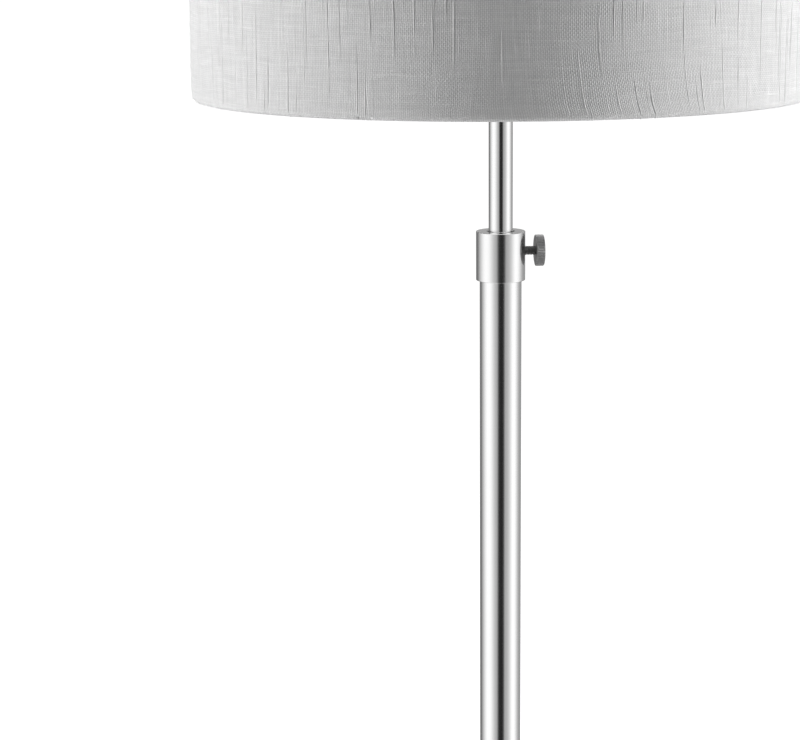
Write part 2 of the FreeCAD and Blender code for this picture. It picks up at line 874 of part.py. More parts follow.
def terminal_screws():
    """The two terminal screws, head down in the core's underside."""
    body = new_body("terminal_screws", "holder_foot_level", parts=2)
    for what, side in (("front", "-"), ("rear", "")):
        for stage, radius, height, down in (
            ("head", "terminal_head_diameter / 2", "terminal_head_height", True),
            ("shank", "terminal_shank_diameter / 2", "terminal_shank_length", False),
        ):
            sketch = new_sketch(body, f"{what}_{stage}", "XY_Plane", "holder_shell_foot")
            draw_circle(sketch, "0", f"{side}terminal_spacing / 2", radius)
            extrude(body, "Pad", sketch, length=height, reverse=down)


def shade_clamp_ring(name, level):
    """Threaded ring on the lampholder, which holds the spider."""
    rim = "shade_ring_diameter / 2"
    bore = "holder_radius + thread_fit"
    turned(
        name,
        level,
        [
            (bore, "0"),
            (f"{rim} - shade_ring_chamfer", "0"),
            (rim, "shade_ring_chamfer"),
            (rim, "shade_ring_height - shade_ring_chamfer"),
            (f"{rim} - shade_ring_chamfer", "shade_ring_height"),
            (bore, "shade_ring_height"),
        ],
    )


def shade_clamp_rings():
    shade_clamp_ring("lower_shade_ring", "spider_level - shade_ring_height")
    shade_clamp_ring("upper_shade_ring", "spider_level + spider_plate_thickness")


# Bulb


def bulb_contact():
    turned(
        "bulb_contact",
        "bulb_tip_level",
        [
            ("0", "0"),
            ("bulb_contact_flat / 2", "0"),
            ("bulb_contact_diameter / 2", "bulb_contact_height"),
            ("0", "bulb_contact_height"),
        ],
    )


def bulb_insulator():
    turned(
        "bulb_insulator",
        "bulb_tip_level",
        [
            ("0", "bulb_contact_height"),
            ("bulb_contact_diameter / 2", "bulb_contact_height"),
            ("bulb_cap_diameter / 2 - bulb_cap_cone", "bulb_cap_start"),
            ("0", "bulb_cap_start"),
        ],
    )


def bulb_cap():
    """Metal cap with a coned lower end."""
    radius = "bulb_cap_diameter / 2"
    foot = f"{radius} - bulb_cap_cone"
    shoulder = "bulb_cap_start + bulb_cap_cone"
    turned(
        "bulb_cap",
        "bulb_tip_level",
        [
            (f"{foot} - bulb_cap_wall / half_root", "bulb_cap_start"),
            (foot, "bulb_cap_start"),
            (radius, shoulder),
            (radius, "bulb_cap_height"),
            (f"{radius} - bulb_cap_wall", "bulb_cap_height"),
            (f"{radius} - bulb_cap_wall", f"{shoulder} + bulb_cap_wall * (1 / half_root - 1)"),
        ],
    )


def bulb_glass():
    """Hollow pear of glass: a neck, a hollow curve and a ball that meet tangentially, with an even wall."""

    def meeting(inset):
        share = f"(bulb_radius - {inset}) / (bulb_throat + bulb_radius)"
        return f"(bulb_neck + bulb_throat) * {share}", f"bulb_centre - bulb_drop * {share}"

    turned(
        "bulb_glass",
        "bulb_tip_level",
        [
            ("bulb_neck", "bulb_glass_start"),
            ("bulb_neck", "bulb_neck_height"),
            (*meeting("0"), "-bulb_throat"),
            ("0", "bulb_length", "bulb_radius"),
            ("0", "bulb_length - bulb_wall"),
            (*meeting("bulb_wall"), "-(bulb_radius - bulb_wall)"),
            ("bulb_neck - bulb_wall", "bulb_neck_height", "bulb_throat + bulb_wall"),
            ("bulb_neck - bulb_wall", "bulb_glass_start"),
        ],
    )


# Shade


def shade_spider():
    """Welded frame: a centre plate, wire arms that bend down from it, and the lower wire ring."""
    body = new_body("shade_spider", "spider_level")
    revolve(
        body,
        "plate",
        tube_outline("spider_hole", "spider_plate_radius", "0", "spider_plate_thickness"),
    )
    arm_start = "spider_plate_radius - arm_weld_overlap"
    route = new_sketch(body, "arm_route", "XZ_Plane")
    draw_path(
        route,
        [
            (arm_start, "arm_level"),
            ("arm_bend - arm_tangent", "arm_level"),
            (
                "arm_bend + arm_tangent * cos(arm_slope)",
                "arm_level - arm_tangent * sin(arm_slope)",
                "-arm_bend_radius",
            ),
            ("arm_end", "arm_end_level"),
        ],
        closed=False,
    )
    section = new_sketch(body, "arm_section", "YZ_Plane", arm_start)
    draw_circle(section, "0", "arm_level", "arm_wire_diameter / 2")
    arm = body.newObject("PartDesign::AdditivePipe", "shade_spider_arm")
    arm.Profile = section
    arm.Spine = route
    repeat_round(body, arm, "arm_count")
    revolve(body, "ring", circle=("wire_circle", "rim_radius - spider_rise", "ring_wire_diameter / 2"))


def shade_top_ring():
    body = new_body("shade_top_ring", "rim_level")
    revolve(body, "wire", circle=("wire_circle", "shade_height - rim_radius", "ring_wire_diameter / 2"))


def shade_lining():
    outline = tube_outline("lining_bore", "lining_radius", "rim_radius", "shade_height - rim_radius")
    turned("shade_lining", "rim_level", outline)


def shade_fabric():
    """Cloth on the lining, turned in round both wire rings and glued down, notched for the arms."""
    back_turn = "(rim_radius - fabric_thickness)"
    lower_edge = [
        ("shade_radius", "rim_radius"),
        ("wire_circle", "0", "-rim_radius"),
        ("wire_circle - turn_reach", "rim_radius + turn_reach", "-rim_radius"),
        ("tuck_face", "tuck_start"),
        ("tuck_face", "tuck_end"),
        ("tuck_face + fabric_thickness", "tuck_end"),
        ("tuck_face + fabric_thickness", "tuck_start - fabric_thickness * (1 / half_root - 1)"),
        (f"wire_circle - {back_turn} * half_root", f"rim_radius + {back_turn} * half_root"),
        ("wire_circle", f"rim_radius - {back_turn}", back_turn),
        ("shade_radius - fabric_thickness", "rim_radius", back_turn),
    ]
    body = turned("shade_fabric", "rim_level", lower_edge + upside_down(lower_edge, "shade_height"))
    notch = new_sketch(body, "arm_notch", "XZ_Plane")
    inside = "wire_circle - 2 * rim_radius"
    beyond = "tuck_face + fabric_thickness + glue_line / 2"
    draw_path(
        notch,
        [
            (inside, "arm_notch_floor"),
            ("wire_circle", "arm_notch_floor"),
            ("wire_circle", "2 * rim_radius"),
            (beyond, "2 * rim_radius"),
            (beyond, "tuck_end + fabric_thickness"),
            (inside, "tuck_end + fabric_thickness"),
        ],
    )
    repeat_round(body, pocket(body, notch, length="arm_notch_width", both_ways=True), "arm_count")


def upside_down(corners, height):
    """The same corners at the other end of a height, reversed, so that an outline runs on through them."""
    flipped = []
    following = [*corners[1:], ()]
    for corner, after in zip(corners, following):
        radius = after[2:]
        flipped.append((corner[0], f"{height} - ({corner[1]})", *radius))
    return flipped[::-1]


PIECES = (
    base_cover,
    base_weight,
    base_pad,
    cable_grommet,
    foot_plug,
    foot_nipple,
    foot_washer,
    foot_nut,
    outer_tube,
    clamp_collar,
    collar_liner,
    clamp_pad,
    thumbscrew_stud,
    thumbscrew_knob,
    inner_tube,
    guide_bush,
    retaining_rings,
    tube_top_bush,
    holder_nipple,
    holder_dome,
    holder_body,
    holder_core,
    screw_shell,
    centre_contact,
    terminal_screws,
    shade_clamp_rings,
    bulb_contact,
    bulb_insulator,
    bulb_cap,
    bulb_glass,
    shade_spider,
    shade_top_ring,
    shade_lining,
    shade_fabric,
)
for make_piece in PIECES:
    make_piece()
doc.recompute()

failed = [item.Name for item in doc.Objects if {"Invalid", "Error"} & set(item.State)]
bodies = [item for item in doc.Objects if item.isDerivedFrom("PartDesign::Body")]
failed += [body.Name for body in bodies if body.Shape.isNull() or not body.Shape.isValid()]
if failed:
    raise RuntimeError(f"these did not build: {failed}")

os.makedirs("parts", exist_ok=True)
for body in bodies:
    body.Shape.exportStep(f"parts/{body.Label}.step")
    print(f"{body.Label}: {len(body.Shape.Solids)} solid(s), {body.Shape.Volume:.0f} mm3")
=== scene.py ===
"""Looks of the telescopic floor lamp: satin nickel column and base, knurled thumbscrew, linen drum shade.

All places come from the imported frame. Lengths are metres, and angles are radians except for the studio's
azimuths, which are degrees.
"""

import math

import bmesh
import bpy
from mathutils import Matrix, Vector, noise


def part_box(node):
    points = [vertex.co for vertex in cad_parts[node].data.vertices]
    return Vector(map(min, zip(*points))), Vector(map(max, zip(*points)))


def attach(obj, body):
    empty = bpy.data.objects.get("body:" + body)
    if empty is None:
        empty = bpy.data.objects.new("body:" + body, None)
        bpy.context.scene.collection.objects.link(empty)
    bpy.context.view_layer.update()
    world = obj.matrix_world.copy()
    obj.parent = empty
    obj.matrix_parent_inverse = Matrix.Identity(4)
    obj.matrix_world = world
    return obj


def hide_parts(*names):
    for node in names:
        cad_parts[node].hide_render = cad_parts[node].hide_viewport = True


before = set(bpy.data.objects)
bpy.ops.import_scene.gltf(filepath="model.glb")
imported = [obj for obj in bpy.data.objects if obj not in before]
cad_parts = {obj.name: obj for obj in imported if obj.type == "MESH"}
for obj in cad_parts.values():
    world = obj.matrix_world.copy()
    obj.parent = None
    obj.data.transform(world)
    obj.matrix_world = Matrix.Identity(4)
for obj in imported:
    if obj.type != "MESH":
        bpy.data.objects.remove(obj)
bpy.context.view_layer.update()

MM = 0.001
SEEN_FROM = math.radians(-4.5)  # the thumbscrew points a little away from the camera

# Places read from the frame

shade_foot, shade_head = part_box("shade_fabric")
knob_foot, knob_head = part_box("thumbscrew_knob")
stud_foot, stud_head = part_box("thumbscrew_stud")
cap_foot, cap_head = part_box("bulb_cap")
wire_foot, wire_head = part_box("shade_top_ring")

RIM_LEVEL = shade_foot.z
SHADE_HEIGHT = shade_head.z - shade_foot.z
SHADE_RADIUS = shade_head.x
STUD_LEVEL = (knob_foot.z + knob_head.z) / 2
WIRE_CIRCLE = (wire_head.x - wire_foot.x) / 2 - (wire_head.z - wire_foot.z) / 2

# Driving sizes of what is made here

CLOTH = 0.5 * MM
HEM_RADIUS = 3.0 * MM
HEM_TUCK = 7.0 * MM
ARM_COUNT = 3
ARM_NOTCH = 7.0 * MM
LINING = 0.4 * MM
GLUE = 0.02 * MM
LAP_WIDTH = 14.0 * MM
LAP_RISE = 0.45 * MM
CUT_EDGE = 0.12 * MM
YARN_PITCH = 1.18 * MM
YARN_SWAY = 8.0  # threads, where the weave wanders most
THREAD_STEP = 3.7  # apart in the noise, so that neighbouring threads differ
GIRTH_STRETCH = 0.035  # a thread's own thickness changes slowly along it
STUD_PITCH = 1.0 * MM
STUD_THREAD_DEPTH = 0.5 * MM
CAP_PITCH = 3.63 * MM
CAP_THREAD_DEPTH = 1.2 * MM
CAP_WALL = 0.3 * MM


# Node layouts


MIX_SOCKETS = {"FLOAT": (0, 2, 3), "RGBA": (0, 6, 7)}  # share, first value, second value


class Layout:
    """Sets out the nodes of one tree and joins them."""

    def __init__(self, tree):
        self.tree = tree

    def node(self, kind, inputs=None, **settings):
        made = self.tree.nodes.new(kind)
        for name, value in settings.items():
            setattr(made, name, value)
        for socket, value in (inputs or {}).items():
            self.feed(made.inputs[socket], value)
        return made

    def feed(self, socket, value):
        if isinstance(value, bpy.types.NodeSocket):
            self.tree.links.new(value, socket)
        else:
            socket.default_value = value

    def math(self, operation, *values, clamp=False):
        made = self.node("ShaderNodeMath", operation=operation, use_clamp=clamp)
        for socket, value in zip(made.inputs, values):
            self.feed(socket, value)
        return made.outputs[0]

    def plus(self, first, second, clamp=False):
        return self.math("ADD", first, second, clamp=clamp)

    def minus(self, first, second):
        return self.math("SUBTRACT", first, second)

    def times(self, first, second):
        return self.math("MULTIPLY", first, second)

    def over(self, first, second):
        return self.math("DIVIDE", first, second)

    def scaled(self, vector, factor):
        return self.node("ShaderNodeVectorMath", {0: vector, "Scale": factor}, operation="SCALE").outputs[0]

    def vector(self, operation, *values):
        made = self.node("ShaderNodeVectorMath", operation=operation)
        for socket, value in zip(made.inputs, values):
            self.feed(socket, value)
        return made.outputs["Value" if operation == "LENGTH" else "Vector"]

    def parts(self, vector):
        return self.node("ShaderNodeSeparateXYZ", {"Vector": vector}).outputs

    def joined(self, x, y, z):
        return self.node("ShaderNodeCombineXYZ", {"X": x, "Y": y, "Z": z}).outputs[0]

    def noise(self, vector, scale, detail=2.0, roughness=0.5, distortion=0.0):
        sizes = {"Vector": vector, "Scale": scale, "Detail": detail, "Roughness": roughness}
        made = self.node("ShaderNodeTexNoise", {**sizes, "Distortion": distortion})
        return made.outputs["Fac"]

    def ranged(self, value, low, high, to_low=0.0, to_high=1.0, smooth=False):
        kind = "SMOOTHSTEP" if smooth else "LINEAR"
        sizes = {"Value": value, "From Min": low, "From Max": high, "To Min": to_low, "To Max": to_high}
        return self.node("ShaderNodeMapRange", sizes, interpolation_type=kind).outputs["Result"]

    def mix(self, kind, *values):
        made = self.node("ShaderNodeMix", data_type=kind, clamp_factor=True)
        for socket, value in zip(MIX_SOCKETS[kind], values):
            self.feed(made.inputs[socket], value)
        return made.outputs

    def mixed(self, share, first, second):
        """Number between two numbers."""
        return self.mix("FLOAT", share, first, second)[0]

    def blend(self, share, first, second):
        """Colour between two colours, each given as red, green and blue."""
        return self.mix("RGBA", share, (*first, 1.0), (*second, 1.0))[2]

    def named(self, name, kind):
        """Value that the geometry carries by name."""
        return self.node("GeometryNodeInputNamedAttribute", {"Name": name}, data_type=kind).outputs[0]

    def stored(self, geometry, name, value, domain, kind="FLOAT"):
        """Geometry that now carries a value by name."""
        inputs = {"Geometry": geometry, "Name": name, "Value": value}
        made = self.node("GeometryNodeStoreNamedAttribute", inputs, domain=domain, data_type=kind)
        return made.outputs[0]


def new_group(name, inputs, outputs):
    """Empty shader node group with named float and vector sockets. Returns its layout and its two ends."""
    group = bpy.data.node_groups.new(name, "ShaderNodeTree")
    for socket, default in inputs.items():
        kind = "NodeSocketVector" if default is None else "NodeSocketFloat"
        made = group.interface.new_socket(socket, in_out="INPUT", socket_type=kind)
        if default is not None:
            made.default_value = default
    for socket in outputs:
        group.interface.new_socket(socket, in_out="OUTPUT", socket_type="NodeSocketFloat")
    layout = Layout(group)
    return layout, layout.node("NodeGroupInput").outputs, layout.node("NodeGroupOutput").inputs


def make_turned_marks():
    """Fine rings that a turning tool and a polishing wheel leave round the Z axis."""
    layout, given, result = new_group(
        "turned_marks", {"Vector": None, "Pitch": 0.4 * MM, "Wander": 0.3}, ("Height", "Tone")
    )
    x, y, z = layout.parts(given["Vector"])
    radius = layout.math("SQRT", layout.plus(layout.times(x, x), layout.times(y, y)))
    drift = layout.times(layout.noise(given["Vector"], 60.0), layout.times(given["Wander"], MM))
    across = layout.joined(layout.plus(radius, drift), 0.0, layout.plus(z, drift))
    per_pitch = layout.over(1.0, given["Pitch"])
    lines = layout.noise(layout.scaled(across, per_pitch), 1.0, detail=3.0, roughness=0.7)
    layout.feed(result["Height"], lines)
    layout.feed(result["Tone"], layout.ranged(lines, 0.3, 0.7))
    return layout.tree


def make_handling_marks():
    """Faint wipe marks and dust, which make a gloss uneven."""
    layout, given, result = new_group("handling_marks", {"Vector": None, "Scale": 20.0}, ("Smear", "Dust"))
    sweep = layout.vector("MULTIPLY", given["Vector"], (1.0, 1.0, 0.35))
    wiped = layout.noise(sweep, given["Scale"], detail=4.0, roughness=0.6)
    layout.feed(result["Smear"], layout.ranged(wiped, 0.35, 0.75, smooth=True))
    speck = layout.node("ShaderNodeTexVoronoi", {"Vector": given["Vector"], "Scale": 900.0})
    layout.feed(result["Dust"], layout.ranged(speck.outputs["Distance"], 0.05, 0.12, 1.0, 0.0))
    return layout.tree


def make_moulded_grain():
    """Fine pitting of a mould or a casting, with a slow change of tone."""
    layout, given, result = new_group("moulded_grain", {"Vector": None, "Scale": 900.0}, ("Height", "Tone"))
    pits = layout.noise(given["Vector"], given["Scale"], detail=3.0, roughness=0.65)
    layout.feed(result["Height"], pits)
    layout.feed(result["Tone"], layout.noise(given["Vector"], 25.0, detail=4.0))
    return layout.tree


def make_woven_threads():
    """Plain weave on a thread map in metres: upright threads stand out, cross threads show between them."""
    layout, given, result = new_group(
        "woven_threads",
        {"Vector": None, "Pitch": YARN_PITCH, "Wander": 0.25, "Slub": 1.0},
        ("Height", "Tone"),
    )
    u, v, _ = layout.parts(given["Vector"])
    wobble = layout.minus(layout.noise(given["Vector"], 55.0, detail=3.0), 0.5)
    sway = layout.times(wobble, layout.times(given["Wander"], YARN_SWAY))
    across = layout.plus(layout.over(u, given["Pitch"]), sway)
    along = layout.minus(layout.over(v, given["Pitch"]), sway)

    def thread(turns, slow):
        """Number of the thread here, its round back, and its own thickness along the other way."""
        number = layout.math("FLOOR", turns)
        centre = layout.minus(layout.math("FRACT", turns), 0.5)
        back = layout.math("COSINE", layout.times(centre, math.pi))
        place = layout.joined(layout.times(number, THREAD_STEP), layout.times(slow, GIRTH_STRETCH), 0.0)
        girth = layout.noise(place, 1.0, detail=3.0, roughness=0.6)
        return number, back, girth

    warp_number, warp_back, warp_girth = thread(across, along)
    weft_number, weft_back, weft_girth = thread(along, across)
    checker = layout.math("MODULO", layout.plus(warp_number, weft_number), 2.0)
    warp_up = layout.math("ABSOLUTE", checker)
    warp_height = layout.times(warp_back, layout.plus(0.55, layout.times(warp_up, 0.45)))
    weft_height = layout.times(weft_back, layout.minus(0.8, layout.times(warp_up, 0.6)))
    body = layout.math("MAXIMUM", warp_height, weft_height)
    warp_slub = layout.ranged(warp_girth, 0.60, 0.78, smooth=True)
    weft_slub = layout.ranged(weft_girth, 0.62, 0.80, smooth=True)
    slub = layout.plus(layout.times(warp_slub, warp_back), layout.times(weft_slub, 0.5))
    thick = layout.times(given["Slub"], slub)
    layout.feed(result["Height"], layout.plus(body, layout.times(thick, 0.9)))
    # Painted shade and highlight: the tone is lighter on the round backs of the threads and darker in the
    # gaps between them, where shade falls, and lighter on thick yarn as a painted highlight. The threads'
    # uneven thickness adds a random tone.
    uneven = layout.minus(layout.plus(warp_girth, weft_girth), 1.0)
    tone = layout.plus(layout.times(body, 0.75), layout.times(uneven, 0.6))
    tone = layout.plus(tone, layout.times(thick, 0.35), clamp=True)
    layout.feed(result["Tone"], tone)
    return layout.tree


turned_marks = make_turned_marks()
handling_marks = make_handling_marks()
moulded_grain = make_moulded_grain()
woven_threads = make_woven_threads()


# Finishes


def new_finish(name, **values):
    """Material, its node layout and its shader. Constant values sit on the shader's own sockets."""
    material = bpy.data.materials.new(name)
    material.use_nodes = True
    layout = Layout(material.node_tree)
    shader = material.node_tree.nodes["Principled BSDF"]
    for socket, value in values.items():
        shader.inputs[socket.replace("_", " ")].default_value = value
    return material, layout, shader


def placed(layout, centre=(0.0, 0.0, 0.0), turn=(0.0, 0.0, 0.0)):
    """Object coordinates moved to a piece's own centre, and turned so that its axis is Z."""
    where = layout.node("ShaderNodeTexCoord").outputs["Object"]
    moved = layout.vector("SUBTRACT", where, centre)
    turned = layout.node("ShaderNodeMapping", {"Vector": moved, "Rotation": turn}, vector_type="POINT")
    return turned.outputs[0]


def use_group(layout, group, inputs):
    return layout.node("ShaderNodeGroup", inputs, node_tree=group).outputs


def relief(layout, shader, height, depth, strength=1.0):
    bump = layout.node("ShaderNodeBump", {"Height": height, "Distance": depth, "Strength": strength})
    layout.feed(shader.inputs["Normal"], bump.outputs[0])


def metal(name, dark, light, gloss, marks, depth, centre=(0.0, 0.0, 0.0), turn=(0.0, 0.0, 0.0), smear=0.05):
    """Bare or plated metal: tool rings, wipe marks, two tones. gloss is (smoothest, roughest)."""
    material, layout, shader = new_finish(name, Metallic=1.0)
    where = placed(layout, centre, turn)
    rings = use_group(layout, turned_marks, {"Vector": where, "Pitch": marks})
    wiped = use_group(layout, handling_marks, {"Vector": where})
    shade = layout.plus(layout.times(rings["Tone"], 0.5), layout.times(wiped["Smear"], 0.5))
    layout.feed(shader.inputs["Base Color"], layout.blend(shade, dark, light))
    polish = layout.ranged(rings["Tone"], 0.0, 1.0, gloss[0], gloss[1])
    layout.feed(shader.inputs["Roughness"], layout.plus(polish, layout.times(wiped["Smear"], smear)))
    relief(layout, shader, rings["Height"], depth)
    return material


def moulded(name, dark, light, roughness, grain, depth, **values):
    """Plastic, rubber, glaze or cast metal with a mould's fine grain."""
    material, layout, shader = new_finish(name, **values)
    where = placed(layout)
    skin = use_group(layout, moulded_grain, {"Vector": where, "Scale": grain})
    wiped = use_group(layout, handling_marks, {"Vector": where})
    layout.feed(shader.inputs["Base Color"], layout.blend(skin["Tone"], dark, light))
    dusty = layout.plus(layout.times(wiped["Smear"], 0.6), layout.times(wiped["Dust"], 0.4))
    layout.feed(shader.inputs["Roughness"], layout.ranged(dusty, 0.0, 1.0, roughness[0], roughness[1]))
    relief(layout, shader, skin["Height"], depth)
    return material


def grey(value):
    return (value, value, value)


def make_linen():
    """White slubby linen on its own thread map, its colour painted with the weave's shade and highlight."""
    material, layout, shader = new_finish(
        "white_linen", Roughness=0.92, Sheen_Weight=0.12, Sheen_Roughness=0.5
    )
    where = layout.node("ShaderNodeUVMap", uv_map="thread_map").outputs[0]
    weave = use_group(layout, woven_threads, {"Vector": where})
    slow = layout.noise(placed(layout), 14.0, detail=3.0)
    tone = layout.plus(weave["Tone"], layout.times(layout.minus(slow, 0.5), 0.25))
    # Painted shade and highlight: the colour spreads wide with the weave's tone, darker between threads and
    # lighter on thick yarn. The slow noise is a random change of tone.
    colour = layout.blend(layout.ranged(tone, 0.1, 0.8), grey(0.66), grey(0.95))
    layout.feed(shader.inputs["Base Color"], colour)
    relief(layout, shader, weave["Height"], 0.12 * MM)
    return material


def make_slub_yarn():
    """The same yarn where it is spun thick: twisted fibres, painted a little brighter as a painted highlight.
    """
    material, layout, shader = new_finish(
        "slub_yarn", Roughness=0.88, Sheen_Weight=0.15, Sheen_Roughness=0.5
    )
    fibres = layout.noise(layout.vector("MULTIPLY", placed(layout), (1.0, 1.0, 0.25)), 1800.0, detail=2.0)
    # Painted highlight: the thick yarn's colour is set lighter than the cloth's, for the light it catches.
    layout.feed(shader.inputs["Base Color"], layout.blend(fibres, grey(0.80), grey(0.95)))
    relief(layout, shader, fibres, 0.06 * MM)
    return material


def make_lining():
    """White plastic-coated lining: smooth, with a faint ripple where it was rolled up."""
    material, layout, shader = new_finish("white_lining", Coat_Weight=0.25, Coat_Roughness=0.35)
    where = placed(layout)
    ripple = layout.noise(layout.vector("MULTIPLY", where, (1.0, 1.0, 0.15)), 22.0, detail=2.0)
    skin = use_group(layout, moulded_grain, {"Vector": where, "Scale": 1400.0})
    layout.feed(shader.inputs["Base Color"], layout.blend(ripple, grey(0.80), grey(0.86)))
    layout.feed(shader.inputs["Roughness"], layout.ranged(skin["Tone"], 0.3, 0.7, 0.38, 0.52))
    height = layout.plus(layout.times(ripple, 0.9), layout.times(skin["Height"], 0.03))
    relief(layout, shader, height, 0.5 * MM, strength=0.6)
    return material


CLAMP_AXIS = {"centre": (0.0, 0.0, STUD_LEVEL), "turn": (0.0, -math.pi / 2, 0.0)}

satin_nickel = metal(
    "satin_nickel", grey(0.72), grey(0.77), (0.09, 0.14), 0.5 * MM, 0.0006 * MM, smear=0.03
)
turned_nickel = metal(
    "turned_nickel", grey(0.70), grey(0.77), (0.11, 0.18), 0.45 * MM, 0.003 * MM, smear=0.03
)
knurled_nickel = metal(
    "knurled_nickel", grey(0.46), grey(0.60), (0.34, 0.46), 0.3 * MM, 0.006 * MM, **CLAMP_AXIS
)
stud_steel = metal("stud_steel", grey(0.16), grey(0.26), (0.32, 0.45), 0.2 * MM, 0.004 * MM, **CLAMP_AXIS)
zinc_plate = metal("zinc_plate", (0.52, 0.54, 0.56), (0.66, 0.68, 0.70), (0.30, 0.45), 0.3 * MM, 0.004 * MM)
contact_brass = metal(
    "contact_brass", (0.62, 0.44, 0.18), (0.74, 0.56, 0.27), (0.24, 0.38), 0.3 * MM, 0.003 * MM
)
cap_nickel = metal("cap_nickel", grey(0.62), grey(0.74), (0.22, 0.34), 0.25 * MM, 0.003 * MM)
cast_iron = moulded("cast_iron", grey(0.035), grey(0.075), (0.62, 0.80), 420.0, 0.25 * MM)
black_rubber = moulded("black_rubber", grey(0.018), grey(0.032), (0.68, 0.85), 1100.0, 0.07 * MM)
black_acetal = moulded("black_acetal", grey(0.02), grey(0.035), (0.34, 0.50), 900.0, 0.02 * MM)
holder_plastic = moulded("holder_plastic", grey(0.74), grey(0.80), (0.26, 0.42), 1300.0, 0.012 * MM)
white_glaze = moulded(
    "white_glaze", grey(0.76), grey(0.84), (0.14, 0.30), 700.0, 0.02 * MM, Coat_Weight=0.6
)
cap_glass = moulded("cap_glass", grey(0.015), grey(0.03), (0.10, 0.22), 700.0, 0.01 * MM)
white_enamel = moulded("white_enamel", grey(0.74), grey(0.82), (0.28, 0.44), 1100.0, 0.03 * MM)
opal_glass = moulded(
    "opal_glass", grey(0.84), grey(0.88), (0.16, 0.26), 260.0, 0.004 * MM,
    Coat_Weight=0.5, Coat_Roughness=0.05,
)
white_linen = make_linen()
slub_yarn = make_slub_yarn()
white_lining = make_lining()

FINISHES = {
    satin_nickel: ("base_cover", "outer_tube", "inner_tube"),
    turned_nickel: ("clamp_collar",),
    knurled_nickel: ("thumbscrew_knob",),
    cast_iron: ("base_weight",),
    black_rubber: ("base_pad", "cable_grommet"),
    zinc_plate: (
        "foot_plug", "foot_nipple", "foot_washer", "foot_nut", "retaining_rings", "tube_top_bush",
        "holder_nipple",
    ),
    black_acetal: ("collar_liner", "guide_bush", "clamp_pad"),
    holder_plastic: ("holder_dome", "holder_body", "lower_shade_ring", "upper_shade_ring"),
    white_glaze: ("holder_core",),
    contact_brass: ("screw_shell", "centre_contact", "terminal_screws"),
    cap_nickel: ("bulb_contact",),
    cap_glass: ("bulb_insulator",),
    opal_glass: ("bulb_glass",),
    white_enamel: ("shade_spider", "shade_top_ring"),
    white_lining: ("shade_lining",),
}

for material, nodes in FINISHES.items():
    for name in nodes:
        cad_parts[name].material_slots[0].material = material


# Pieces made here


def new_piece(name, mesh, material, body, stands_for=()):
    """Object at the origin with its place in its mesh, riding on a body."""
    mesh.materials.clear()
    mesh.materials.append(material)
    piece = bpy.data.objects.new(name, mesh)
    bpy.context.scene.collection.objects.link(piece)
    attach(piece, body)
    if stands_for:
        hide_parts(*stands_for)
    return piece


def ring_mesh(name, rings, loop=False, cloth_place=None, sheet=False):
    """Skin over rings that all have as many points.

    A loop joins the last ring to the first, else the ends are closed.
    A sheet stays open: its rings are lines, and it has no ends to close.
    cloth_place(ring, point) gives the place on the uncut cloth, and counts on past the last ring.
    """
    made = bmesh.new()
    rows = [[made.verts.new(point) for point in ring] for ring in rings]
    width = len(rows[0])
    layer = made.loops.layers.uv.new("thread_map") if cloth_place else None
    for i in range(len(rows) if loop else len(rows) - 1):
        near, far = rows[i], rows[(i + 1) % len(rows)]
        for j in range(width - 1 if sheet else width):
            k = (j + 1) % width
            face = made.faces.new((near[j], near[k], far[k], far[j]))
            face.smooth = True
            if layer:
                for corner, place in zip(face.loops, ((i, j), (i, k), (i + 1, k), (i + 1, j))):
                    corner[layer].uv = cloth_place(*place)
    if not (loop or sheet):
        made.faces.new(list(reversed(rows[0])))
        made.faces.new(rows[-1])
    bmesh.ops.recalc_face_normals(made, faces=made.faces)
    mesh = bpy.data.meshes.new(name)
    made.to_mesh(mesh)
    made.free()
    return mesh


def smooth_step(value, low, high):
    share = min(max((value - low) / (high - low), 0.0), 1.0)
    return share * share * (3 - 2 * share)


# Linen cover. Angles round the shade count from the front (-Y) towards the right (+X).

HEM_BEND = HEM_RADIUS - CLOTH / 2
HEM_WRAP = math.radians(225)
TUCK_OFFSET = SHADE_RADIUS - CLOTH - LINING - GLUE - CLOTH / 2 - WIRE_CIRCLE
SLOPE_RUN = TUCK_OFFSET * math.sqrt(2) + HEM_BEND
HEM_RUN = HEM_BEND * HEM_WRAP + SLOPE_RUN + HEM_TUCK
SLIT_RUN = HEM_BEND * math.radians(139)
HEM_STEPS = 16
SIDE_STEPS = 40
COLUMNS = 360
SIDE_REACH = SHADE_RADIUS - CLOTH / 2
SIDE_LENGTH = SHADE_HEIGHT - 2 * HEM_RADIUS
RIPPLE = 0.25 * MM
WAVER = 1.6 * MM
WAVER_LENGTH = 70.0 * MM
LEAN = 7.0 * MM
LEAN_HEIGHT = 55.0 * MM
LEAN_START = (-60 * MM, 45 * MM)
LEAN_END = (80 * MM, 150 * MM)
CROSS_LAYER = Vector((0.0, 0.0, 9.0))  # far enough off in the noise to waver on its own
RIPPLES_ROUND = 4
RIPPLES_UP = 22
LAP_FADE = 0.7  # share of the lap's width that lies at its full rise


def hem_point(run):
    """Middle of the cloth, run metres past its straight side: round the wire, then back out onto the lining.

    Returns its place from the wire's centre (outwards, away) and the way that the cloth's face looks there.
    """
    turn = min(run / HEM_BEND, HEM_WRAP)
    face = (math.cos(turn), -math.sin(turn))
    slope = min(max(run - HEM_BEND * HEM_WRAP, 0.0), SLOPE_RUN)
    tuck = max(run - HEM_BEND * HEM_WRAP - SLOPE_RUN, 0.0)
    place = (HEM_BEND * face[0] - slope * face[0], HEM_BEND * face[1] + slope * face[1] + tuck)
    if tuck:
        face = (-1.0, 0.0)
    return place, face


